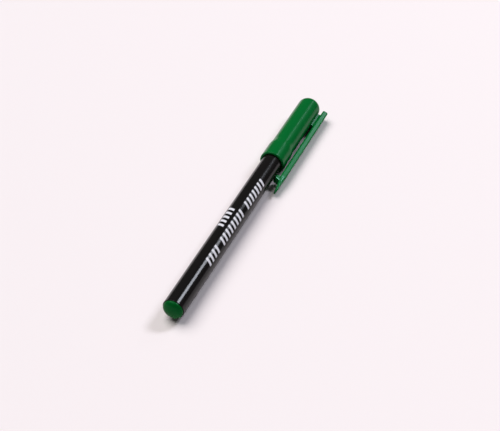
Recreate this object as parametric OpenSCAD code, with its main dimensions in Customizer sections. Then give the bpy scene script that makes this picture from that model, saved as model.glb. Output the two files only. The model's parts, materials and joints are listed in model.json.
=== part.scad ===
// Plate correction pen: a slim fibre-tip fluid pen with a capped nib and a springy pocket clip.
// Every piece is drawn upright about the pen's axis, from the crown of the end plug at zero up to the
// top of the cap, with the clip on the +X side.
// The pen is then laid along X and rolled until its clip meets the table.

/* [Barrel] */
// Outer diameter of the straight barrel
barrel_d = 8.8; // [8.6:0.1:9]
// Thickness of the barrel's wall
barrel_wall = 0.8; // [0.7:0.05:0.9]
// Length of bare barrel between the end plug and the cap
grip_l = 94.8; // [80:0.2:110]
// Length of the slimmer seat under the cap
seat_l = 12.5; // [11.5:0.1:14]
// Step in radius from the bare barrel down to the seat
seat_step = 0.15; // [0.1:0.05:0.3]
// Number of ribs that centre the reservoir in the bore
rib_count = 6; // [4:1:8]

/* [End plug] */
// Diameter of the plug's domed head, a little less than the barrel's
plug_d = 8.2; // [7.8:0.1:8.6]
// Height of the dome
plug_dome = 1.85; // [1.2:0.05:2.4]
// Height of the straight rim between the dome and the barrel
plug_rim = 0.3; // [0.2:0.05:1]
// Length of the plug's spigot inside the barrel
plug_spigot = 8; // [6:0.5:12]

/* [Front section] */
// Length of the holder's spigot inside the barrel
holder_spigot = 11; // [8:0.5:14]
// Thickness of the flange that stops on the barrel's front edge
flange_t = 1.6; // [1:0.1:2.5]
// Diameter of the land that the inner cap seals on
land_d = 6.6; // [6.2:0.1:6.8]
// Length of the sealing land
land_l = 5; // [4:0.5:7]
// Length of the nose from the land to the nib's exit
nose_l = 9.5; // [8:0.5:11]
// Diameter of the nose at the nib's exit
nose_tip_d = 3.4; // [2.8:0.1:4]
// Diameter of the fibre nib
nib_d = 1.8; // [1.2:0.1:2.2]
// Length of nib that stands out of the nose
nib_out = 4.5; // [3.5:0.5:6]
// Radius of the nib's writing point
nib_point_r = 0.4; // [0.2:0.1:0.5]

/* [Reservoir] */
// Diameter of the fibre rod
core_d = 6.3; // [6:0.1:6.4]
// Thickness of the film wrapped round the fibre rod
film_t = 0.1; // [0.05:0.05:0.15]

/* [Cap] */
// Length of the cap
cap_l = 47.1; // [44:0.1:52]
// Diameter of the band at the cap's mouth
band_d = 11; // [10.8:0.1:11.8]
// Length of the straight part of the band
band_l = 8.5; // [7:0.5:12]
// Length over which the band blends into the body
blend_l = 4.5; // [3:0.5:8]
// Diameter of the cap's body
body_d = 10.2; // [10:0.1:10.8]
// Height of the cap's domed top
cap_dome = 4.2; // [3:0.1:5]

/* [Clip] */
// Width of the clip's arm
clip_w = 5; // [4:0.1:6]
// Thickness of the clip's arm
clip_t = 2.5; // [2:0.1:2.8]
// Radius of the arm's long edges
clip_edge = 0.55; // [0.2:0.05:0.8]
// Space between the cap's body and the clip's arm
clip_gap = 1; // [0.6:0.05:1.4]
// Distance of the clip's upper end below the top of the cap
clip_below_top = 2; // [1:0.1:3]
// Length of the clip's end above its foot
clip_overhang = 3.1; // [2:0.1:5]
// Length of the foot that joins the clip to the cap
foot_l = 9; // [6:0.5:12]
// Width of the foot and of the pip, which are narrower than the arm
foot_w = 3; // [2:0.1:3.6]
// Distance of the pip's centre below the cap's mouth
pip_below_mouth = 6.5; // [4:0.5:9]
// Length of the thin, narrow tip below the pip's centre
tip_l = 7.5; // [6:0.5:12]
// Width of the clip at its tip
tip_w = 3.2; // [2.4:0.1:3.8]
// Thickness of the clip at its tip
tip_t = 0.6; // [0.4:0.1:0.9]
// How far the tip's outer face draws in from the arm's
tip_draw = 0.3; // [0:0.05:0.6]

/* [Hidden] */
$fn = 96;

// Fits and small edges shared by the pieces, and the places of the beads as shares of a spigot
push_gap = 0.03;
slide_gap = 0.05;
edge = 0.25;
bead_h = 0.02;
bead_l = 0.8;
bead_low = 0.25;
bead_high = 0.65;
arc_steps = 12;

// Radii of the barrel, its seat and its bore
barrel_r = barrel_d / 2;
seat_r = barrel_r - seat_step;
bore_r = barrel_r - barrel_wall;
film_r = core_d / 2 + film_t;
rib_r = film_r + push_gap;
rib_w = 0.6;

// Levels along the pen, from the crown of the end plug upwards
rear_z = plug_dome + plug_rim;
seat_z = rear_z + grip_l;
front_z = seat_z + seat_l;
flange_z = front_z + flange_t;
land_z = flange_z + land_l;
nose_z = land_z + nose_l;
point_z = nose_z + nib_out;
mouth_gap = 0.4;
mouth_z = seat_z + mouth_gap;
top_z = mouth_z + cap_l;

// End plug
plug_r = plug_d / 2;
plug_front_z = rear_z + plug_spigot;
plug_wall = 0.9;
plug_floor_z = 1.3;
fin_t = 0.8;
fin_out = 2.5;

// Front section
spigot_r = bore_r - push_gap;
holder_z = front_z - holder_spigot;
holder_wall = 1;
holder_core_r = bore_r - holder_wall;
holder_floor = 1;
land_r = land_d / 2;
land_bead = 0.04;
nose_tip_r = nose_tip_d / 2;
nose_sweep = 80;
nib_r = nib_d / 2;
nib_bore_r = nib_r + push_gap / 2;
nib_tail = 9;
nib_tail_z = holder_z - nib_tail;
nib_taper = 2.6;
point_slope = 15;
vent_w = 0.5;
vent_depth = 0.35;

// Reservoir, between the plug's fins and the holder
core_rear_z = plug_front_z + fin_out + slide_gap;
core_front_z = holder_z - slide_gap;

// Cap and its liner
band_r = band_d / 2;
body_r = body_d / 2;
liner_wall = 0.6;
liner_bore_r = land_r + land_bead + slide_gap;
liner_r = liner_bore_r + liner_wall;
liner_gap = 0.5;
liner_mouth_z = flange_z + liner_gap;
liner_lead = 1;
liner_taper_z = nose_z - liner_lead;
liner_end_r = 2;
point_gap = 1.6;
liner_end_z = point_z + point_gap;
liner_floor = 0.8;
lip_r = 0.45;
cap_bore_r = barrel_r + slide_gap;
shoulder_gap = 0.3;
cap_shoulder_z = flange_z + shoulder_gap;
cap_inner_r = liner_r + push_gap;
dome_z = top_z - cap_dome;
dome_wall = 1.3;
grip_bead_z = 3;
grip_bead_l = 1.2;
grip_bead_gap = 0.08;
grip_bead_h = cap_bore_r - seat_r - grip_bead_gap;

// Clip
arm_in_r = body_r + clip_gap;
arm_out_r = arm_in_r + clip_t;
clip_top_z = top_z - clip_below_top;
foot_top_z = clip_top_z - clip_overhang;
foot_z = foot_top_z - foot_l;
foot_r = body_r + push_gap;
foot_fillet = 0.4;
top_round = 0.9;
pip_gap = 0.1;
pip_z = mouth_z - pip_below_mouth;
pip_peak_r = barrel_r + pip_gap;
pip_r = 1.45;
pip_root = 1.2;
ramp_above_pip = 1;
ramp_z = pip_z + ramp_above_pip;
tip_z = pip_z - tip_l;
tip_out_r = arm_out_r - tip_draw;
tip_corner = 1.1;

// Roll at which the clip's lower edge and the cap's band both meet the table
arm_corner = [arm_out_r - clip_edge, clip_w / 2 - clip_edge];
tip_edge = [tip_out_r, tip_w / 2];
arm_drop = asin((band_r - clip_edge) / norm(arm_corner)) - atan2(arm_corner.y, arm_corner.x);
tip_drop = asin(band_r / norm(tip_edge)) - atan2(tip_edge.y, tip_edge.x);
clip_drop = min(arm_drop, tip_drop);

// Sideways reach of the clip, which puts the axis off the middle of the pen's width
drop_side = [cos(clip_drop), sin(clip_drop)];
clip_reach = max(arm_corner * drop_side + clip_edge, tip_edge * drop_side);
axis_y = (clip_reach - band_r) / 2;

// Points of an oval arc about a centre, between two angles
function oval(centre, rx, ry, from, to) = [for (i = [0:arc_steps])
    let(a = from + (to - from) * i / arc_steps)
    centre + [rx * cos(a), ry * sin(a)]];

// Points of a round arc about a centre, between two angles
function arc(centre, r, from, to) = oval(centre, r, r, from, to);

// Points of a smooth step from one radius and level to another
function blend(r1, z1, r2, z2) = [for (i = [0:arc_steps]) let(t = i / arc_steps)
    [r1 + (r2 - r1) * t * t * (3 - 2 * t), z1 + (z2 - z1) * t]];

// A low rounded bead on an outside wall, from a lower level upwards
function bead(r, z, length, height) = [for (i = [0:arc_steps]) let(a = 180 * i / arc_steps)
    [r + height * sin(a), z + length * (1 - cos(a)) / 2]];

// Lays the upright pen along X, with its clip rolled down to the table on the -Y side
module lay_down() {
    translate([-top_z / 2, axis_y, band_r])
        rotate([clip_drop - 90, 0, 0])
            rotate([0, 90, 0])
                children();
}

// Turns an outline of radii and levels about the pen's axis
module turned(points) {
    rotate_extrude()
        polygon(points);
}

module barrel() {
    color("#1c1a1a") lay_down() difference() {
        turned([
            [0, rear_z],
            [barrel_r - edge / 2, rear_z],
            [barrel_r, rear_z + edge / 2],
            [barrel_r, seat_z],
            [seat_r, seat_z],
            [seat_r, front_z - edge],
            [seat_r - edge, front_z],
            [0, front_z]
        ]);
        translate([0, 0, rear_z - edge])
            cylinder(r = bore_r, h = plug_spigot + 2 * edge);
        translate([0, 0, holder_z - edge])
            cylinder(r = bore_r, h = holder_spigot + 2 * edge);
        translate([0, 0, rear_z - edge])
            linear_extrude(front_z - rear_z + 2 * edge)
                ribbed_bore();
    }
}

// Cross-section of the bore, with the ribs that centre the reservoir and let air past it
module ribbed_bore() {
    difference() {
        circle(r = bore_r);
        for (i = [0:rib_count - 1])
            rotate(360 * i / rib_count)
                translate([rib_r, -rib_w / 2])
                    square([bore_r, rib_w]);
    }
}

module end_plug() {
    color("#0d6930") lay_down() {
        turned(concat(
            oval([0, plug_dome], plug_r, plug_dome, -90, 0),
            [[plug_r, rear_z], [spigot_r, rear_z]],
            bead(spigot_r, rear_z + plug_spigot * bead_low, bead_l, bead_h),
            bead(spigot_r, rear_z + plug_spigot * bead_high, bead_l, bead_h),
            [[spigot_r, plug_front_z - edge], [spigot_r - edge, plug_front_z]],
            [[spigot_r - plug_wall, plug_front_z], [spigot_r - plug_wall, plug_floor_z]],
            [[0, plug_floor_z]]
        ));
        plug_fins();
    }
}

// Cross of fins inside the plug that stops the reservoir and leaves air paths
module plug_fins() {
    fin_w = 2 * spigot_r - plug_wall;
    fin_z = plug_floor_z - edge;
    fin_l = plug_front_z + fin_out - fin_z;
    intersection() {
        translate([0, 0, fin_z])
            cylinder(d = fin_w, h = fin_l);
        for (turn = [0, 90])
            rotate(turn)
                translate([-fin_w / 2, -fin_t / 2, fin_z - edge])
                    cube([fin_w, fin_t, fin_l + 2 * edge]);
    }
}

module nib_holder() {
    color("#222222") lay_down() difference() {
        turned(concat(
            [[holder_core_r, holder_z], [spigot_r - edge, holder_z], [spigot_r, holder_z + edge]],
            bead(spigot_r, holder_z + holder_spigot * bead_low, bead_l, bead_h),
            bead(spigot_r, holder_z + holder_spigot * bead_high, bead_l, bead_h),
            [[spigot_r, front_z], [seat_r, front_z], [seat_r, flange_z - edge], [seat_r - edge, flange_z]],
            [[land_r, flange_z]],
            bead(land_r, flange_z + land_l / 2, bead_l, land_bead),
            oval([nose_tip_r, land_z], land_r - nose_tip_r, nose_l - edge, 0, nose_sweep),
            [[nose_tip_r, nose_z - edge], [nose_tip_r - edge, nose_z], [nib_bore_r, nose_z]],
            [[nib_bore_r, front_z], [holder_core_r, front_z - holder_floor]]
        ));
        nib_vents();
    }
}

// Slots beside the nib that let air back into the barrel
module nib_vents() {
    for (turn = [0, 90, 180, 270])
        rotate(turn)
            translate([0, -vent_w / 2, front_z - holder_floor])
                cube([nib_bore_r + vent_depth, vent_w, nose_z - front_z + holder_floor + edge]);
}

module nib() {
    color("#e9e4d4") lay_down()
        turned(concat(
            [[0, nib_tail_z], [nib_r - edge, nib_tail_z], [nib_r, nib_tail_z + edge]],
            [[nib_r, point_z - nib_taper]],
            arc([0, point_z - nib_point_r], nib_point_r, point_slope, 90)
        ));
}

module reservoir_core() {
    color("#f1efe6") lay_down() difference() {
        translate([0, 0, core_rear_z])
            cylinder(d = core_d, h = core_front_z - core_rear_z);
        translate([0, 0, nib_tail_z - slide_gap])
            cylinder(r = nib_bore_r, h = nib_tail + edge);
    }
}

module reservoir_film() {
    color("#dfe6ea") lay_down() difference() {
        translate([0, 0, core_rear_z])
            cylinder(r = film_r, h = core_front_z - core_rear_z);
        translate([0, 0, core_rear_z - edge])
            cylinder(d = core_d, h = core_front_z - core_rear_z + 2 * edge);
    }
}

module cap_shell() {
    color("#0d6930") lay_down()
        turned(concat(
            arc([band_r - lip_r, mouth_z + lip_r], lip_r, -90, 0),
            blend(band_r, mouth_z + band_l, body_r, mouth_z + band_l + blend_l),
            oval([0, dome_z], body_r, cap_dome, 0, 90),
            oval([0, dome_z], cap_inner_r, cap_dome - dome_wall, 90, 0),
            [[cap_inner_r, cap_shoulder_z], [cap_bore_r, cap_shoulder_z]],
            [for (p = bead(0, 0, grip_bead_l, grip_bead_h))
                [cap_bore_r - p.x, mouth_z + grip_bead_z + grip_bead_l - p.y]],
            [[cap_bore_r, mouth_z + edge], [cap_bore_r + edge, mouth_z]]
        ));
}

module inner_cap() {
    color("#e8eae4") lay_down()
        turned([
            [liner_bore_r + edge, liner_mouth_z],
            [liner_r - edge / 2, liner_mouth_z],
            [liner_r, liner_mouth_z + edge / 2],
            [liner_r, liner_taper_z],
            [liner_end_r + liner_wall, liner_end_z + liner_floor - edge],
            [liner_end_r + liner_wall - edge, liner_end_z + liner_floor],
            [0, liner_end_z + liner_floor],
            [0, liner_end_z],
            [liner_end_r, liner_end_z],
            [liner_bore_r, liner_taper_z],
            [liner_bore_r, liner_mouth_z + edge]
        ]);
}

// Cross-section of the clip's arm, with rounded long edges
module arm_section() {
    x = [arm_in_r + clip_edge, arm_out_r - clip_edge];
    y = clip_w / 2 - clip_edge;
    polygon(concat(
        arc([x[1], -y], clip_edge, -90, 0),
        arc([x[1], y], clip_edge, 0, 90),
        arc([x[0], y], clip_edge, 90, 180),
        arc([x[0], -y], clip_edge, 180, 270)
    ));
}

// Straight arm, rounded off at its upper end
module clip_arm() {
    intersection() {
        translate([0, 0, ramp_z])
            linear_extrude(clip_top_z - ramp_z)
                arm_section();
        across(clip_w + edge)
            polygon(concat(
                [[arm_in_r - edge, ramp_z - edge], [arm_out_r + edge, ramp_z - edge]],
                arc([arm_out_r - top_round, clip_top_z - top_round], top_round, 0, 90),
                arc([arm_in_r + top_round, clip_top_z - top_round], top_round, 90, 180)
            ));
    }
}

// Thin tip that leads a pocket's edge in under the pip
module clip_tip() {
    slice = 0.05;
    hull() {
        translate([0, 0, ramp_z])
            linear_extrude(slice)
                arm_section();
        for (side = [-1, 1])
            translate([tip_out_r - tip_t, side * (tip_w / 2 - tip_corner), tip_z + tip_corner])
                rotate([0, 90, 0])
                    cylinder(r = tip_corner, h = tip_t, $fn = 32);
    }
}

// Web between the arm and the cap, shaped to the cap's round body
module clip_foot() {
    difference() {
        across(foot_w)
            polygon(concat(
                [[0, foot_z], [0, foot_top_z]],
                arc([arm_in_r - foot_fillet, foot_top_z + foot_fillet], foot_fillet, -90, 0),
                [[arm_in_r + edge, foot_top_z + foot_fillet], [arm_in_r + edge, foot_z - foot_fillet]],
                arc([arm_in_r - foot_fillet, foot_z - foot_fillet], foot_fillet, 0, 90)
            ));
        translate([0, 0, foot_z - 2 * foot_fillet])
            cylinder(r = foot_r, h = foot_l + 4 * foot_fillet);
    }
}

// Half-round pip that presses on the barrel, on a straight root that runs into the arm
module clip_pip() {
    translate([pip_peak_r + pip_r, 0, pip_z]) {
        rotate([90, 0, 0])
            cylinder(r = pip_r, h = foot_w, center = true);
        translate([0, -foot_w / 2, -pip_r])
            cube([pip_root, foot_w, 2 * pip_r]);
    }
}

// Stretches a side outline of radii and levels across the clip's width
module across(width) {
    translate([0, width / 2, 0])
        rotate([90, 0, 0])
            linear_extrude(width)
                children();
}

module clip() {
    color("#0d6930") lay_down() {
        clip_arm();
        clip_tip();
        clip_foot();
        clip_pip();
    }
}

barrel();
end_plug();
nib_holder();
nib();
reservoir_core();
reservoir_film();
cap_shell();
inner_cap();
clip();
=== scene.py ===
import json
import math

import bmesh
import bpy
from mathutils import Matrix, Quaternion, Vector


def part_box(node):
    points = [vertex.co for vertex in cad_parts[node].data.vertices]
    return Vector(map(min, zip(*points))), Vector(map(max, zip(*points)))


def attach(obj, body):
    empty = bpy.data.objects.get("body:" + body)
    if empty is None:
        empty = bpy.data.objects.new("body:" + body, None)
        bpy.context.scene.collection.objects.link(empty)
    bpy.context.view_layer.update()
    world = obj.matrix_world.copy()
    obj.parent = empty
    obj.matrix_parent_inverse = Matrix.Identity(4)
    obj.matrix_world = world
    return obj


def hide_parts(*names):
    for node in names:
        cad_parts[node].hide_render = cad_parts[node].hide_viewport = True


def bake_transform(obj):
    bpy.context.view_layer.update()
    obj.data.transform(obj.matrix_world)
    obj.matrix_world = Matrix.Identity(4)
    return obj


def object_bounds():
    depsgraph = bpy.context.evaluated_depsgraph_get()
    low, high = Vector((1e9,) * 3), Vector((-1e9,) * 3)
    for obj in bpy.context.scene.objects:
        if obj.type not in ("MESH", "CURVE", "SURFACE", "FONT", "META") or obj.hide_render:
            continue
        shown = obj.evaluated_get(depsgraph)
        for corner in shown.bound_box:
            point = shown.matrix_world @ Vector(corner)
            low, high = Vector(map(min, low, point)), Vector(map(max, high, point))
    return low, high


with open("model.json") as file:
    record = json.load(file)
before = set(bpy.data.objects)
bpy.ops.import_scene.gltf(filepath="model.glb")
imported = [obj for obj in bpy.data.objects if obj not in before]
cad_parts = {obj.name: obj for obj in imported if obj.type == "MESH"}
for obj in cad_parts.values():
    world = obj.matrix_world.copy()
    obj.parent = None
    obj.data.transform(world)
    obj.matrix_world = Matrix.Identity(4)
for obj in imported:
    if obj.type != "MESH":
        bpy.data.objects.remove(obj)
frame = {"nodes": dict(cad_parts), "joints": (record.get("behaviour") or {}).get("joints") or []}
cad_low, cad_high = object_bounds()


# Barrel: a straight tube of black styrene, extruded, cut to length and left with a satin gloss.
# Its front is turned down a little where the cap sits, and ribs along its bore centre the reservoir.
# Rows of plain leaning bars are screen-printed along it in white.

MM = 0.001


def span(node):
    """Where a node starts and ends along the pen, in millimetres from the crown of the end plug."""
    low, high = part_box(node)
    return (low.x - cad_low.x) / MM, (high.x - cad_low.x) / MM


plug_low, plug_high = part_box("end_plug")
axis = (plug_low + plug_high) / 2
clip_flex = next(joint for joint in frame["joints"] if joint["name"] == "clip_flex")
roll = math.atan2(-clip_flex["axis"][1], clip_flex["axis"][2])

# Outlines are drawn in millimetres about an upright axis, from the crown of the end plug upwards, with the
# clip on +X. This lays them along the pen.
laid_down = (
    Matrix.Translation((cad_low.x, axis.y, axis.z))
    @ Matrix.Rotation(roll - math.pi / 2, 4, "X")
    @ Matrix.Rotation(math.pi / 2, 4, "Y")
    @ Matrix.Scale(MM, 4)
)


class Signal:
    """One output of a node. Arithmetic on signals adds Math nodes to their graph."""

    def __init__(self, graph, socket):
        self.graph = graph
        self.socket = socket

    def out(self, key):
        """Another output of the same node."""
        return Signal(self.graph, self.socket.node.outputs[key])

    def maths(self, operation, first, second):
        """A Math node on two signals or numbers."""
        return self.graph.node("ShaderNodeMath", {"operation": operation}, {0: first, 1: second})

    def __add__(self, other):
        return self.maths("ADD", self, other)

    def __radd__(self, other):
        return self.maths("ADD", other, self)

    def __sub__(self, other):
        return self.maths("SUBTRACT", self, other)

    def __rsub__(self, other):
        return self.maths("SUBTRACT", other, self)

    def __mul__(self, other):
        return self.maths("MULTIPLY", self, other)

    def __rmul__(self, other):
        return self.maths("MULTIPLY", other, self)

    def __truediv__(self, other):
        return self.maths("DIVIDE", self, other)

    def __rtruediv__(self, other):
        return self.maths("DIVIDE", other, self)

    def __abs__(self):
        return self.maths("ABSOLUTE", self, 0.0)

    def over(self, floor):
        """The larger of this signal and a floor."""
        return self.maths("MAXIMUM", self, floor)


class Graph:
    """A node tree that is written as plain expressions."""

    def __init__(self, tree):
        self.tree = tree

    def node(self, kind, settings=None, sockets=None):
        """Adds a node, makes its settings, then sets or links its sockets."""
        made = self.tree.nodes.new(kind)
        for key, value in (settings or {}).items():
            setattr(made, key, value)
        for key, value in (sockets or {}).items():
            if isinstance(value, Signal):
                self.tree.links.new(value.socket, made.inputs[key])
            else:
                made.inputs[key].default_value = value
        return Signal(self, made.outputs[0]) if made.outputs else made


class Finish(Graph):
    """A material whose colour, gloss and fine relief come from its own nodes, measured in millimetres."""

    # The Mix node's sockets for colours go by number, because other sockets have the same names.
    mix_share, mix_first, mix_second, mix_colour = 0, 6, 7, 2

    def __init__(self, name, constants):
        self.material = bpy.data.materials.new(name)
        self.material.use_nodes = True
        super().__init__(self.material.node_tree)
        self.shader = self.tree.nodes["Principled BSDF"]
        for key, value in constants.items():
            self.shader.inputs[key].default_value = value
        self.place = self.node(
            "ShaderNodeMapping",
            {},
            {
                "Vector": self.node("ShaderNodeTexCoord").out("Object"),
                "Location": (-cad_low.x / MM, -axis.y / MM, -axis.z / MM),
                "Scale": (1 / MM, 1 / MM, 1 / MM),
            },
        )

    def feed(self, socket, signal):
        """Links a signal to one of the shader's sockets."""
        self.tree.links.new(signal.socket, self.shader.inputs[socket])

    def grain(self, along, across, detail=3.0):
        """Noise about 0.5, with its own number of grains per millimetre along and across the pen."""
        stretch = (along, across, across)
        scaled = self.node("ShaderNodeVectorMath", {"operation": "MULTIPLY"}, {0: self.place, 1: stretch})
        return self.node(
            "ShaderNodeTexNoise", {}, {"Vector": scaled, "Scale": 1.0, "Detail": detail, "Roughness": 0.55}
        )

    def rise(self, value, low, high, start=0.0, end=1.0):
        """Goes smoothly from start to end as a value goes from low to high."""
        return self.node(
            "ShaderNodeMapRange",
            {"interpolation_type": "SMOOTHSTEP"},
            {"Value": value, "From Min": low, "From Max": high, "To Min": start, "To Max": end},
        )

    def tint(self, share, first, second):
        """First colour where share is 0, second where it is 1."""
        sockets = {self.mix_share: share, self.mix_first: first, self.mix_second: second}
        return self.node("ShaderNodeMix", {"data_type": "RGBA"}, sockets).out(self.mix_colour)

    def relief(self, height, depth_mm):
        """Bumps the surface by a height signal whose full step is depth_mm deep."""
        bump = self.node("ShaderNodeBump", {}, {"Height": height, "Strength": 1.0, "Distance": depth_mm * MM})
        self.feed("Normal", bump)


def lathe_tree():
    """Turns an outline of points (radius, 0, level) about the upright axis into a closed skin."""
    graph = Graph(bpy.data.node_groups.new("lathe", "GeometryNodeTree"))
    sockets = graph.tree.interface
    sockets.new_socket("Outline", in_out="INPUT", socket_type="NodeSocketGeometry")
    sockets.new_socket("Steps round", in_out="INPUT", socket_type="NodeSocketInt")
    sockets.new_socket("Weld distance", in_out="INPUT", socket_type="NodeSocketFloat")
    sockets.new_socket("Finish", in_out="INPUT", socket_type="NodeSocketMaterial")
    sockets.new_socket("Piece", in_out="OUTPUT", socket_type="NodeSocketGeometry")
    given = graph.node("NodeGroupInput")
    outline = given.out("Outline")
    steps = given.out("Steps round")
    count = graph.node("GeometryNodeAttributeDomainSize", {"component": "MESH"}, {"Geometry": outline})
    columns = count.out("Point Count")
    rows = steps + 1
    skin = graph.node("GeometryNodeMeshGrid", {}, {"Vertices X": columns, "Vertices Y": rows})
    index = graph.node("GeometryNodeInputIndex")
    corner = graph.node("ShaderNodeMath", {"operation": "FLOOR"}, {0: (index + 0.5) / rows})
    turn = (index - corner * rows) / steps * math.tau
    spot = graph.node(
        "GeometryNodeSampleIndex",
        {"data_type": "FLOAT_VECTOR"},
        {"Geometry": outline, "Value": graph.node("GeometryNodeInputPosition"), "Index": corner},
    )
    swung = graph.node("ShaderNodeVectorRotate", {"rotation_type": "Z_AXIS"}, {"Vector": spot, "Angle": turn})
    shaped = graph.node("GeometryNodeSetPosition", {}, {"Geometry": skin, "Position": swung})
    welded = graph.node(
        "GeometryNodeMergeByDistance", {}, {"Geometry": shaped, "Distance": given.out("Weld distance")}
    )
    whole = graph.node("GeometryNodeRealizeInstances", {}, {"Geometry": welded})
    painted = graph.node("GeometryNodeSetMaterial", {}, {"Geometry": whole, "Material": given.out("Finish")})
    graph.node("NodeGroupOutput", {}, {"Piece": painted})
    return graph.tree


def divider_tree():
    """Sets a number of like blocks evenly round the upright axis, each pointing outwards."""
    graph = Graph(bpy.data.node_groups.new("divider", "GeometryNodeTree"))
    sockets = graph.tree.interface
    sockets.new_socket("Start", in_out="INPUT", socket_type="NodeSocketGeometry")
    sockets.new_socket("Count", in_out="INPUT", socket_type="NodeSocketInt")
    sockets.new_socket("Block size", in_out="INPUT", socket_type="NodeSocketVector")
    sockets.new_socket("Block centre", in_out="INPUT", socket_type="NodeSocketVector")
    sockets.new_socket("Finish", in_out="INPUT", socket_type="NodeSocketMaterial")
    sockets.new_socket("Blocks", in_out="OUTPUT", socket_type="NodeSocketGeometry")
    given = graph.node("NodeGroupInput")
    count = given.out("Count")
    block = graph.node("GeometryNodeMeshCube", {}, {"Size": given.out("Block size")})
    moved = graph.node(
        "GeometryNodeTransform", {}, {"Geometry": block, "Translation": given.out("Block centre")}
    )
    points = graph.node("GeometryNodePoints", {}, {"Count": count})
    turn = graph.node("GeometryNodeInputIndex") / count * math.tau
    angles = graph.node("ShaderNodeCombineXYZ", {}, {"Z": turn})
    rotation = graph.node("FunctionNodeEulerToRotation", {}, {"Euler": angles})
    placed = graph.node(
        "GeometryNodeInstanceOnPoints", {}, {"Points": points, "Instance": moved, "Rotation": rotation}
    )
    whole = graph.node("GeometryNodeRealizeInstances", {}, {"Geometry": placed})
    painted = graph.node("GeometryNodeSetMaterial", {}, {"Geometry": whole, "Material": given.out("Finish")})
    graph.node("NodeGroupOutput", {}, {"Blocks": painted})
    return graph.tree


lathe = lathe_tree()
divider = divider_tree()


def grown(name, tree, points, inputs):
    """Runs a tree on a row of points and returns the result as a plain mesh."""
    row = bpy.data.meshes.new(name)
    row.from_pydata(points, [(i, i + 1) for i in range(len(points) - 1)], [])
    holder = bpy.data.objects.new(name, row)
    bpy.context.collection.objects.link(holder)
    modifier = holder.modifiers.new("tree", "NODES")
    modifier.node_group = tree
    for socket in tree.interface.items_tree:
        if socket.in_out == "INPUT" and socket.name in inputs:
            modifier[socket.identifier] = inputs[socket.name]
    mesh = bpy.data.meshes.new_from_object(holder.evaluated_get(bpy.context.evaluated_depsgraph_get()))
    bpy.data.objects.remove(holder)
    return mesh


def braced(outline, margin=0.15):
    """Adds a point near both ends of each long straight run, to keep its smooth shading straight."""
    longest_bare_run = 4 * margin
    points = [Vector(outline[0])]
    for first, last in zip(outline, outline[1:]):
        run = Vector(last) - Vector(first)
        if run.length > longest_bare_run:
            inset = run.normalized() * margin
            points += [Vector(first) + inset, Vector(last) - inset]
        points.append(Vector(last))
    return points


def turned(name, outline, finish, steps=128):
    """A closed skin, from an outline of (radius, level) pairs turned about the upright axis."""
    points = [(radius, 0, level) for radius, level in braced(outline)]
    weld = 0.002
    inputs = {"Steps round": steps, "Weld distance": weld, "Finish": finish.material}
    return grown(name, lathe, points, inputs)


def spaced(name, count, width, inner, outer, finish):
    """Like blocks set evenly round the axis. Each runs from one (radius, level) corner to the other."""
    size = (outer[0] - inner[0], width, outer[1] - inner[1])
    centre = ((inner[0] + outer[0]) / 2, 0, (inner[1] + outer[1]) / 2)
    inputs = {"Count": count, "Block size": size, "Block centre": centre, "Finish": finish.material}
    return grown(name, divider, [(0, 0, 0)], inputs)


def made_piece(name, meshes, place=laid_down, crease=35):
    """Joins meshes into one piece, lays it along the pen and smooths all but its crisp edges."""
    joined = bmesh.new()
    for mesh in meshes:
        joined.from_mesh(mesh)
    bmesh.ops.recalc_face_normals(joined, faces=joined.faces)
    skin = bpy.data.meshes.new(name)
    joined.to_mesh(skin)
    joined.free()
    for material in meshes[0].materials:
        skin.materials.append(material)
    skin.transform(place)
    skin.shade_smooth()
    skin.set_sharp_from_angle(angle=math.radians(crease))
    piece = bpy.data.objects.new(name, skin)
    bpy.context.collection.objects.link(piece)
    return piece


def arc(centre, radii, start, end, steps=8):
    """Points of an oval arc from one angle to another, in degrees."""
    turns = [math.radians(start + (end - start) * i / steps) for i in range(steps + 1)]
    return [(centre[0] + radii[0] * math.cos(a), centre[1] + radii[1] * math.sin(a)) for a in turns]


def rounded(radius, level, fillet, start, end):
    """A small round at a corner of an outline, given the round's own centre."""
    return arc((radius, level), (fillet, fillet), start, end, steps=5)


rear_z, front_z = span("barrel")
seat_length = 12.5
seat_z = front_z - seat_length
barrel_r, seat_r, bore_r = 4.4, 4.25, 3.6
tube_edge, mouth_edge = 0.12, 0.25
rib_count, rib_r, rib_width = 6, 3.28, 0.6
rib_rear_inset, rib_front_inset = 9.0, 12.0
rib_sunk = rib_width / 2

# Each row of bars has its start along the tube, its number of bars and its line round the tube.
long_line, short_line = -3.1, 1.7
print_rows = [(26.5, 4, long_line), (39.4, 8, long_line), (63.0, 7, long_line), (47.0, 5, short_line)]
bar_pitch, bar_width, bar_half_height, bar_lean = 2.6, 1.25, 1.65, 0.35
ink_blur, ink_wobble, worn_ink = 0.05, 0.12, 0.8

tube_dark, tube_light = (0.0075, 0.0066, 0.0062, 1), (0.0095, 0.0085, 0.008, 1)
scuff_grey, print_white = (0.04, 0.04, 0.04, 1), (0.78, 0.77, 0.82, 1)
scuff_tint = 0.1
tube_roughness, smudge_haze, scuff_haze, ink_haze = 0.12, 0.08, 0.06, 0.25
line_height, ink_height, scuff_depth = 0.4, 0.6, 0.3

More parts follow.
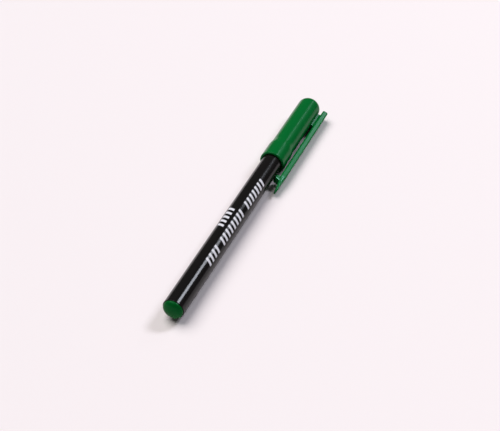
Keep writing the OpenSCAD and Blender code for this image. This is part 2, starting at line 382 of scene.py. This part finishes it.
barrel_black = Finish("barrel_black", {"IOR": 1.5, "Specular IOR Level": 0.2})
along_tube = barrel_black.node("ShaderNodeSeparateXYZ", {}, {"Vector": barrel_black.place})
round_tube = along_tube.maths("ARCTAN2", along_tube.out("Y"), along_tube.out("Z")) * barrel_r
draw_lines = barrel_black.grain(along=0.02, across=7.0, detail=2.0)
smudges = barrel_black.grain(along=0.12, across=0.35)
scuffs = barrel_black.rise(barrel_black.grain(along=0.5, across=6.0, detail=4.0), low=0.66, high=0.74)
ragged_edge = (barrel_black.grain(along=5.0, across=5.0) - 0.5) * ink_wobble
ink_wear = barrel_black.rise(barrel_black.grain(along=9.0, across=9.0), low=0.28, high=0.36, start=worn_ink)
ink = 0.0
for start, count, line in print_rows:
    half_row = count * bar_pitch / 2
    up_row = round_tube - line
    into_row = along_tube - up_row * bar_lean - start
    off_row = abs(into_row - half_row) - half_row
    off_bar = abs(along_tube.maths("FLOORED_MODULO", into_row, bar_pitch) - bar_pitch / 2) - bar_width / 2
    off_ink = off_bar.over(off_row).over(abs(up_row) - bar_half_height)
    ink = ink + barrel_black.rise(off_ink + ragged_edge, low=-ink_blur, high=ink_blur, start=1.0, end=0.0)
ink = ink * ink_wear
tube = barrel_black.tint(smudges, tube_dark, tube_light)
worn_tube = barrel_black.tint(scuffs * scuff_tint, tube, scuff_grey)
barrel_black.feed("Base Color", barrel_black.tint(ink, worn_tube, print_white))
barrel_black.feed("Roughness", tube_roughness + smudges * smudge_haze + scuffs * scuff_haze + ink * ink_haze)
barrel_black.relief(draw_lines * line_height + ink * ink_height - scuffs * scuff_depth, depth_mm=0.003)

barrel_outline = (
    [(bore_r, rear_z)]
    + rounded(barrel_r - tube_edge, rear_z + tube_edge, tube_edge, -90, 0)
    + [(barrel_r, seat_z - tube_edge), (seat_r, seat_z)]
    + rounded(seat_r - mouth_edge, front_z - mouth_edge, mouth_edge, 0, 90)
    + [(bore_r, front_z), (bore_r, rear_z)]
)
rib_start = (rib_r, rear_z + rib_rear_inset)
rib_end = (bore_r + rib_sunk, front_z - rib_front_inset)
ribs = spaced("ribs", rib_count, rib_width, rib_start, rib_end, barrel_black)
barrel = made_piece("barrel_tube", [turned("tube", barrel_outline, barrel_black), ribs])
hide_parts("barrel")
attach(barrel, "barrel")


# End plug: a domed plug of green polypropylene, moulded in one shot and pushed into the rear of the tube.
# Its cored spigot has two beads that hold it and a cross of fins that stops the reservoir.

plug_r, plug_dome = 4.1, 1.85
spigot_r, spigot_length = 3.57, 8.0
spigot_z = rear_z + spigot_length
core_r, core_floor = 2.67, 1.3
bead_height, bead_length, bead_shares = 0.02, 0.8, (0.25, 0.65)
fin_count, fin_width, fin_out, fin_sunk = 4, 0.8, 2.5, 0.2

highlight_green = (0.42, 1.0, 0.85, 1)
scratch_green = (0.06, 0.24, 0.1, 1)
scratch_tint = 0.1
smear_haze, scratch_haze = 0.1, 0.1
skin_height, scratch_depth = 0.6, 0.4


def moulded_green(name, deep, bright, roughness, mirror):
    """Glossy green moulding: flow marks in its colour, a soft mould skin, smears and a few fine scratches."""
    green = Finish(name, {"IOR": 1.49, "Specular IOR Level": mirror, "Specular Tint": highlight_green})
    flow = green.grain(along=0.1, across=0.3, detail=4.0)
    skin = green.grain(along=4.0, across=4.0, detail=2.0)
    smears = green.grain(along=0.25, across=0.5)
    scratches = green.rise(green.grain(along=0.7, across=8.0, detail=4.0), low=0.67, high=0.75)
    body = green.tint(flow, deep, bright)
    green.feed("Base Color", green.tint(scratches * scratch_tint, body, scratch_green))
    green.feed("Roughness", roughness + smears * smear_haze + scratches * scratch_haze)
    green.relief(skin * skin_height - scratches * scratch_depth, depth_mm=0.003)
    return green


def bead(radius, level, height, length, steps=6):
    """A low round bead on a wall, from a level on. Values below 0 turn it inwards and downwards."""
    return arc((radius, level + length / 2), (height, length / 2), -90, 90, steps)


def holding_beads(start, length):
    """The two beads that hold a spigot in the tube, each at its share of the spigot's length."""
    points = []
    for share in bead_shares:
        points += bead(spigot_r, start + length * share, bead_height, bead_length)
    return points


# The plug's greens are set darker than the cap's: painted shade, for its domed face turned away from the
# light.
plug_green = moulded_green(
    "plug_green",
    deep=(0.001, 0.095, 0.014, 1),
    bright=(0.0018, 0.115, 0.018, 1),
    roughness=0.1,
    mirror=0.08,
)
plug_outline = (
    arc((0, plug_dome), (plug_r, plug_dome), -90, 0, steps=32)
    + [(plug_r, rear_z), (spigot_r, rear_z)]
    + holding_beads(rear_z, spigot_length)
    + rounded(spigot_r - mouth_edge, spigot_z - mouth_edge, mouth_edge, 0, 90)
    + [(core_r, spigot_z), (core_r, core_floor), (0, core_floor)]
)
fin_start = (0, core_floor - fin_sunk)
fin_end = (core_r + fin_sunk, spigot_z + fin_out)
fins = spaced("fins", fin_count, fin_width, fin_start, fin_end, plug_green)
end_plug = made_piece("domed_plug", [turned("plug", plug_outline, plug_green), fins])
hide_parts("end_plug")
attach(end_plug, "barrel")


# Reservoir: a rod of crimped polyester fibre, wrapped in a thin clear film and slid into the tube.
# Both stay hidden in the barrel, so the CAD solids stay and only get the finishes of fibre and film.

fibre_shade, fibre_light = (0.62, 0.6, 0.52, 1), (0.92, 0.91, 0.86, 1)
fibre_roughness, crimp_haze = 0.75, 0.2
strand_height, crimp_height = 0.7, 0.3
film_shade, film_light = (0.6, 0.66, 0.7, 1), (0.82, 0.86, 0.88, 1)
film_roughness, wrinkle_haze = 0.1, 0.15

fibre = Finish("reservoir_fibre", {"Sheen Weight": 0.3, "Sheen Roughness": 0.5})
strands = fibre.grain(along=0.15, across=12.0, detail=4.0)
crimp = fibre.grain(along=1.5, across=4.0)
fibre.feed("Base Color", fibre.tint(strands, fibre_shade, fibre_light))
fibre.feed("Roughness", fibre_roughness + crimp * crimp_haze)
fibre.relief(strands * strand_height + crimp * crimp_height, depth_mm=0.06)

film = Finish("clear_film", {"IOR": 1.45, "Alpha": 0.4})
wrinkles = film.grain(along=0.6, across=1.2)
film.feed("Base Color", film.tint(wrinkles, film_shade, film_light))
film.feed("Roughness", film_roughness + wrinkles * wrinkle_haze)
film.relief(wrinkles, depth_mm=0.04)

for node, finish in (("reservoir_core", fibre), ("reservoir_film", film)):
    frame["nodes"][node].data.materials.clear()
    frame["nodes"][node].data.materials.append(finish.material)


# Nib holder: the front section of black polypropylene, pushed into the tube up to its flange.
# The inner cap seals on its straight land. Four slots beside the nib let air back in.

holder_z, nose_z = span("nib_holder")
flange_length, land_length = 1.6, 5.0
flange_z = front_z + flange_length
land_z = flange_z + land_length
holder_core_r, holder_floor = 2.6, 1.0
land_r, nose_tip_r, nib_bore_r = 3.3, 1.7, 0.915
land_bead_height, nose_sweep, step_round = 0.04, 80, 0.2
vent_count, vent_width, vent_depth, vent_overrun = 4, 0.5, 0.35, 1.0

holder_dark, holder_light = (0.011, 0.011, 0.011, 1), (0.02, 0.02, 0.0195, 1)
holder_roughness, holder_haze = 0.38, 0.15

holder_black = Finish("holder_black", {"IOR": 1.49, "Specular IOR Level": 0.4})
holder_smears = holder_black.grain(along=0.4, across=0.6)
holder_black.feed("Base Color", holder_black.tint(holder_smears, holder_dark, holder_light))
holder_black.feed("Roughness", holder_roughness + holder_smears * holder_haze)
holder_black.relief(holder_black.grain(along=5.0, across=5.0, detail=2.0), depth_mm=0.006)

nose_curve = (land_r - nose_tip_r, nose_z - land_z - mouth_edge)
holder_outline = (
    [(holder_core_r, holder_z)]
    + rounded(spigot_r - mouth_edge, holder_z + mouth_edge, mouth_edge, -90, 0)
    + holding_beads(holder_z, front_z - holder_z)
    + [(spigot_r, front_z), (seat_r, front_z)]
    + rounded(seat_r - mouth_edge, flange_z - mouth_edge, mouth_edge, 0, 90)
    + rounded(land_r + step_round, flange_z + step_round, step_round, -90, -180)
    + bead(land_r, flange_z + land_length / 2, land_bead_height, bead_length)
    + arc((nose_tip_r, land_z), nose_curve, 0, nose_sweep, steps=16)
    + rounded(nose_tip_r - mouth_edge, nose_z - mouth_edge, mouth_edge, 0, 90)
    + [(nib_bore_r, nose_z), (nib_bore_r, front_z), (holder_core_r, front_z - holder_floor)]
    + [(holder_core_r, holder_z)]
)
upright = Matrix.Identity(4)
solid_holder = made_piece("solid_holder", [turned("holder", holder_outline, holder_black)], place=upright)
vent_end = (nib_bore_r + vent_depth, nose_z + vent_overrun)
vent_blocks = spaced("vent_blocks", vent_count, vent_width, (0, front_z), vent_end, holder_black)
vents = made_piece("vents", [vent_blocks], place=upright)
slotting = solid_holder.modifiers.new("slots", "BOOLEAN")
slotting.object = vents
slotting.solver = "EXACT"
slotted = bpy.data.meshes.new_from_object(
    solid_holder.evaluated_get(bpy.context.evaluated_depsgraph_get())
)
bpy.data.objects.remove(solid_holder)
bpy.data.objects.remove(vents)
nib_holder = made_piece("front_section", [slotted])
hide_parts("nib_holder")
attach(nib_holder, "barrel")


# Nib: a rod of bonded polyester fibres, ground to a fine rounded point.
# It is pushed through the holder and runs back into the reservoir, which keeps it wet.

nib_tail_z, nib_point_z = span("nib")
nib_r, point_r, point_taper, point_slope = 0.9, 0.4, 2.6, 15
taper_round, taper_turn = 1.2, 12
wet_length, wet_share = 3.0, 0.5

nib_shade, nib_light = (0.55, 0.51, 0.42, 1), (0.86, 0.83, 0.74, 1)
wet_nib = (0.5, 0.46, 0.36, 1)
nib_roughness, wet_gloss = 0.85, 0.6

nib_fibre = Finish("nib_fibre", {"Sheen Weight": 0.2, "Sheen Roughness": 0.6})
nib_strands = nib_fibre.grain(along=0.3, across=14.0, detail=4.0)
along_nib = nib_fibre.node("ShaderNodeSeparateXYZ", {}, {"Vector": nib_fibre.place})
wetness = nib_fibre.rise(along_nib, low=nib_point_z - wet_length, high=nib_point_z, end=wet_share)
dry_nib = nib_fibre.tint(nib_strands, nib_shade, nib_light)
nib_fibre.feed("Base Color", nib_fibre.tint(wetness, dry_nib, wet_nib))
nib_fibre.feed("Roughness", nib_roughness - wetness * wet_gloss)
nib_fibre.relief(nib_strands, depth_mm=0.03)

taper_centre = (nib_r - taper_round, nib_point_z - point_taper)
nib_outline = (
    [(0, nib_tail_z), (nib_r - mouth_edge, nib_tail_z), (nib_r, nib_tail_z + mouth_edge)]
    + arc(taper_centre, (taper_round, taper_round), 0, taper_turn, steps=3)
    + arc((0, nib_point_z - point_r), (point_r, point_r), point_slope, 90)
)
nib = made_piece("nib_rod", [turned("nib", nib_outline, nib_fibre, steps=48)])
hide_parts("nib")
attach(nib, "barrel")


# Inner cap: a thin liner of natural polyethylene, pressed into the cap.
# Its straight bore slides over the holder's land, so the nib can't dry out.

liner_mouth_z, liner_top_z = span("inner_cap")
liner_bore_r, liner_end_r, liner_wall = 3.39, 2.0, 0.6
liner_r = liner_bore_r + liner_wall
liner_lead, liner_floor, liner_slope = 1.0, 0.8, 20
liner_taper_z = nose_z - liner_lead
liner_floor_z = liner_top_z - liner_floor

liner_shade, liner_light = (0.68, 0.7, 0.65, 1), (0.84, 0.85, 0.8, 1)
liner_roughness, liner_haze = 0.35, 0.2
milky = {"IOR": 1.5, "Subsurface Weight": 0.25, "Subsurface Scale": 1.5 * MM}

natural = Finish("natural_plastic", milky)
clouding = natural.grain(along=0.3, across=0.5)
natural.feed("Base Color", natural.tint(clouding, liner_shade, liner_light))
natural.feed("Roughness", liner_roughness + clouding * liner_haze)
natural.relief(natural.grain(along=5.0, across=5.0, detail=2.0), depth_mm=0.004)

liner_outline = (
    rounded(liner_bore_r + tube_edge, liner_mouth_z + tube_edge, tube_edge, 180, 270)
    + rounded(liner_r - tube_edge, liner_mouth_z + tube_edge, tube_edge, -90, 0)
    + [(liner_r, liner_taper_z)]
    + rounded(liner_end_r + liner_wall - mouth_edge, liner_top_z - mouth_edge, mouth_edge, liner_slope, 90)
    + [(0, liner_top_z), (0, liner_floor_z), (liner_end_r, liner_floor_z), (liner_bore_r, liner_taper_z)]
    + [(liner_bore_r, liner_mouth_z + tube_edge)]
)
inner_cap = made_piece("liner", [turned("liner_skin", liner_outline, natural)])
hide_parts("inner_cap")
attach(inner_cap, "cap")


# Cap: a deep cup of green polypropylene with a wider band at its mouth and a domed top, moulded in one shot.
# A low bead inside its mouth clicks over the barrel's seat and holds it on.

mouth_z, cap_top_z = span("cap_shell")
band_r, body_r, cap_bore_r, cap_inner_r = 5.5, 5.1, 4.45, 4.02
band_length, blend_length, dome_height, dome_wall = 8.5, 4.5, 4.2, 1.3
lip_r, shoulder_gap = 0.45, 0.3
grip_from_mouth, grip_length, grip_height = 3.0, 1.2, 0.12
band_top_z = mouth_z + band_length
body_z = band_top_z + blend_length
dome_z = cap_top_z - dome_height
shoulder_z = flange_z + shoulder_gap
grip_top_z = mouth_z + grip_from_mouth + grip_length

cap_green = moulded_green(
    "cap_green",
    deep=(0.0012, 0.13, 0.022, 1),
    bright=(0.002, 0.15, 0.028, 1),
    roughness=0.15,
    mirror=0.15,
)


def eased(first, last, steps=16):
    """A smooth step from one (radius, level) to another."""
    points = []
    for i in range(steps + 1):
        t = i / steps
        ease = t * t * (3 - 2 * t)
        points.append((first[0] + (last[0] - first[0]) * ease, first[1] + (last[1] - first[1]) * t))
    return points


cap_outline = (
    arc((band_r - lip_r, mouth_z + lip_r), (lip_r, lip_r), -90, 0)
    + eased((band_r, band_top_z), (body_r, body_z))
    + arc((0, dome_z), (body_r, dome_height), 0, 90, steps=32)
    + arc((0, dome_z), (cap_inner_r, dome_height - dome_wall), 90, 0, steps=24)
    + [(cap_inner_r, shoulder_z), (cap_bore_r, shoulder_z)]
    + bead(cap_bore_r, grip_top_z, -grip_height, -grip_length, steps=8)
    + rounded(cap_bore_r + mouth_edge, mouth_z + mouth_edge, mouth_edge, 180, 270)
    + [(band_r - lip_r, mouth_z)]
)
cap = made_piece("cap_cup", [turned("cap_skin", cap_outline, cap_green)])
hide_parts("cap_shell")
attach(cap, "cap")


# Clip: a long flat spring of the same green plastic, rooted on the cap by a narrow foot near its top.
# Its half-round pip presses on the barrel below the cap's mouth, and its tip thins and narrows to lead a
# pocket's edge in.

tip_z, clip_top_z = span("clip")
clip_gap, clip_thickness, arm_half_width, arm_round = 1.0, 2.5, 2.5, 0.55
arm_in = body_r + clip_gap
arm_out = arm_in + clip_thickness
pip_below_mouth, pip_gap, pip_r, pip_root, pip_edge = 6.5, 0.1, 1.45, 1.2, 0.25
pip_z = mouth_z - pip_below_mouth
pip_centre_r = barrel_r + pip_gap + pip_r
tip_draw, tip_thickness, tip_half_width, tip_corner = 0.3, 0.6, 1.6, 1.1
# The tip's edges are fully round from this share of its ramp on.
tip_full_round = 1 / 3
tip_out = arm_out - tip_draw
tip_in = tip_out - tip_thickness
tip_corner_z = tip_z + tip_corner
ramp_above_pip = 1.0
ramp_z = pip_z + ramp_above_pip
# Over its top round the arm thins at both faces, and its half width and edge rounds lose a share of that.
top_round, half_width_share, edge_round_share, least_round = 0.9, 0.6, 0.3, 0.1
top_round_z = clip_top_z - top_round
foot_below_top, foot_length, foot_half_width = 3.1, 9.0, 1.5
foot_corner, foot_fillet, foot_sunk = 0.3, 0.4, 0.06
foot_top_z = clip_top_z - foot_below_top
foot_z = foot_top_z - foot_length

# The clip's greens are set a little lighter than the cap's: painted light, for the light that its upturned
# flat face catches.
clip_green = moulded_green(
    "clip_green",
    deep=(0.0014, 0.145, 0.026, 1),
    bright=(0.0022, 0.165, 0.032, 1),
    roughness=0.1,
    mirror=0.22,
)


def ring(x_low, x_high, half_width, corner, corner_steps=6, brace=0.08, least_flat=0.02):
    """Points round a rounded rectangle. Two points near the ends of each flat keep its shading straight."""
    corner = min(corner, (x_high - x_low - least_flat) / 2, half_width - least_flat / 2)
    centres = [
        (x_high - corner, -half_width + corner),
        (x_high - corner, half_width - corner),
        (x_low + corner, half_width - corner),
        (x_low + corner, -half_width + corner),
    ]
    rounds = []
    for i, centre in enumerate(centres):
        rounds.append(arc(centre, (corner, corner), 90 * i - 90, 90 * i, corner_steps))
    points = []
    for before, after in zip(rounds[-1:] + rounds[:-1], rounds):
        flat_start, flat_end = Vector(before[-1]), Vector(after[0])
        points += [flat_start.lerp(flat_end, brace), flat_start.lerp(flat_end, 1 - brace)] + after
    return points


def lofted(name, rings, finish):
    """A closed skin through rings of equal length, each a list of (x, y, z) points."""
    loft = bmesh.new()
    rows = [[loft.verts.new(point) for point in points] for points in rings]
    for lower, upper in zip(rows, rows[1:]):
        for i in range(len(lower)):
            loft.faces.new((lower[i - 1], lower[i], upper[i], upper[i - 1]))
    loft.faces.new(reversed(rows[0]))
    loft.faces.new(rows[-1])
    mesh = bpy.data.meshes.new(name)
    loft.to_mesh(mesh)
    loft.free()
    mesh.materials.append(finish.material)
    return mesh


def between(first, last, share):
    """A share of the way from first to last, and last itself where the share is over 1."""
    return first + (last - first) * min(1.0, share)


def round_inset(radius, run):
    """How far a quarter round draws in after a run along it, from none to its whole radius."""
    return radius - math.sqrt(max(0.0, radius**2 - run**2))


def arm_ring(z):
    """The arm's section at a level, thinning and narrowing over the tip and rounding off at the top."""
    down = max(0.0, ramp_z - z)
    slope = down / (ramp_z - tip_z)
    x_low = between(arm_in, tip_in, slope)
    x_high = between(arm_out, tip_out, slope)
    half_width = between(arm_half_width, tip_half_width, down / (ramp_z - tip_corner_z))
    half_width -= round_inset(tip_corner, max(0.0, tip_corner_z - z))
    corner = between(arm_round, (x_high - x_low) / 2, slope / tip_full_round)
    shrink = round_inset(top_round, max(0.0, z - top_round_z))
    half_width -= shrink * half_width_share
    corner = max(corner - shrink * edge_round_share, least_round)
    return [(x, y, z) for x, y in ring(x_low + shrink, x_high - shrink, half_width, corner)]


quarter = math.pi / 2
tip_steps, ramp_steps, top_steps = 8, 6, 8
arm_station, ramp_margin = 1.6, 0.12
arm_steps = round((top_round_z - ramp_z) / arm_station)
levels = [tip_z + tip_corner * (1 - math.cos(quarter * i / tip_steps)) for i in range(tip_steps)]
levels += [between(tip_corner_z, ramp_z, i / ramp_steps) for i in range(ramp_steps)]
levels += [ramp_z - ramp_margin, ramp_z, ramp_z + ramp_margin]
levels += [between(ramp_z, top_round_z, i / arm_steps) for i in range(1, arm_steps)]
levels += [top_round_z + top_round * math.sin(quarter * i / top_steps) for i in range(top_steps + 1)]
arm = lofted("arm", [arm_ring(z) for z in levels], clip_green)


def foot_ring(lift):
    """The foot's section at a share of its height, saddle-shaped at the cap and spreading into the arm."""
    from_fillet = max(0.0, lift * clip_gap - (clip_gap - foot_fillet))
    spread = round_inset(foot_fillet, from_fillet)
    section = ring(foot_z - spread, foot_top_z + spread, foot_half_width + spread, foot_corner)
    points = []
    for z, y in section:
        saddle = math.sqrt(body_r**2 - min(abs(y), foot_half_width) ** 2) - foot_sunk
        points.append((between(saddle, arm_in + foot_sunk, lift), y, z))
    return points


foot_steps = 12
foot = lofted("foot", [foot_ring(i / foot_steps) for i in range(foot_steps + 1)], clip_green)


def pip_ring(angle):
    """The pip's side outline, half-round on a straight root, drawn in towards its rounded side edges."""
    y = math.copysign(foot_half_width - pip_edge, angle) + pip_edge * math.sin(angle)
    radius = pip_r - pip_edge * (1 - math.cos(angle))
    side = arc((pip_centre_r, pip_z), (radius, radius), 90, 270, steps=24)
    root = [(pip_centre_r + pip_root, pip_z - radius), (pip_centre_r + pip_root, pip_z + radius)]
    return [(x, y, z) for x, z in side + root]


pip_steps = 6
pip_angles = [quarter * i / pip_steps for i in range(-pip_steps, pip_steps + 1) if i]
pip = lofted("pip", [pip_ring(angle) for angle in pip_angles], clip_green)
clip = made_piece("pocket_clip", [arm, foot, pip])
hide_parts("clip")
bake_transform(clip)


# Table, light and camera: a plain pale table under one broad soft light, which leans in from the side away
# from the clip. Two soft panels beyond the cap are what barrel, cap and clip mirror as long highlights.
# The camera looks down from behind the end plug.

table_half = 6.0
table_colour = (0.98, 0.893, 0.895, 1)
table_mesh = bpy.data.meshes.new("table")
corner_signs = [(-1, -1), (1, -1), (1, 1), (-1, 1)]
corners = [(x * table_half, y * table_half, 0) for x, y in corner_signs]
table_mesh.from_pydata(corners, [], [range(len(corners))])
table = bpy.data.objects.new("table", table_mesh)
bpy.context.collection.objects.link(table)
paper = bpy.data.materials.new("pale_table")
paper.use_nodes = True
for key, value in {"Base Color": table_colour, "Roughness": 0.9, "Specular IOR Level": 0.0}.items():
    paper.node_tree.nodes["Principled BSDF"].inputs[key].default_value = value
table_mesh.materials.append(paper)

room_grey = (0.06, 0.06, 0.06, 1)
room = bpy.data.worlds.new("room")
room.use_nodes = True
room.node_tree.nodes["Background"].inputs["Color"].default_value = room_grey
bpy.context.scene.world = room


def hung(name, lamp, place):
    """Hangs a lamp at a place, facing the pen, with its first side along the pen."""
    light = bpy.data.objects.new(name, lamp)
    bpy.context.collection.objects.link(light)
    outwards = Vector(place).normalized()
    across = outwards.cross(Vector((1, 0, 0))).normalized()
    turn = Matrix((across.cross(outwards), across, outwards)).transposed()
    light.matrix_world = Matrix.Translation(place) @ turn.to_4x4()


def panel(name, place, length, width, radiance):
    """A soft rectangular panel of a given brightness, where 1 is a white surface in full light."""
    lamp = bpy.data.lights.new(name, "AREA")
    lamp.shape = "RECTANGLE"
    lamp.size, lamp.size_y = length, width
    lamp.color = (0.86, 0.9, 1.0)
    lamp.energy = radiance * math.pi * length * width
    hung(name, lamp, place)


overhead = bpy.data.lights.new("overhead", "SUN")
overhead.energy = 2.34
overhead.angle = math.radians(50)
hung("overhead", overhead, place=(0.1, 0.42, 0.9))
panel("rear_panel", place=(2.29, -1.38, 2.66), length=0.6, width=1.18, radiance=25.5)
panel("front_panel", place=(3.13, -0.875, 2.065), length=0.98, width=0.3, radiance=5.0)

photo_width = 500
focal_pixels = 1239.1
camera_place = Vector((-0.358475, -0.14745, 0.33353))
camera_heading = Vector((0.69745, 0.28814, -0.65615))
camera_tilt = math.radians(1.29)
camera = bpy.data.cameras.new("camera")
camera.lens = focal_pixels / photo_width * camera.sensor_width
camera.clip_start, camera.clip_end = 0.01, 50.0
viewer = bpy.data.objects.new("camera", camera)
bpy.context.collection.objects.link(viewer)
viewer.location = camera_place
viewer.rotation_mode = "QUATERNION"
level_view = camera_heading.to_track_quat("-Z", "Y")
viewer.rotation_quaternion = level_view @ Quaternion((0, 0, 1), camera_tilt)
bpy.context.scene.camera = viewer
bpy.context.scene.view_settings.view_transform = "Standard"
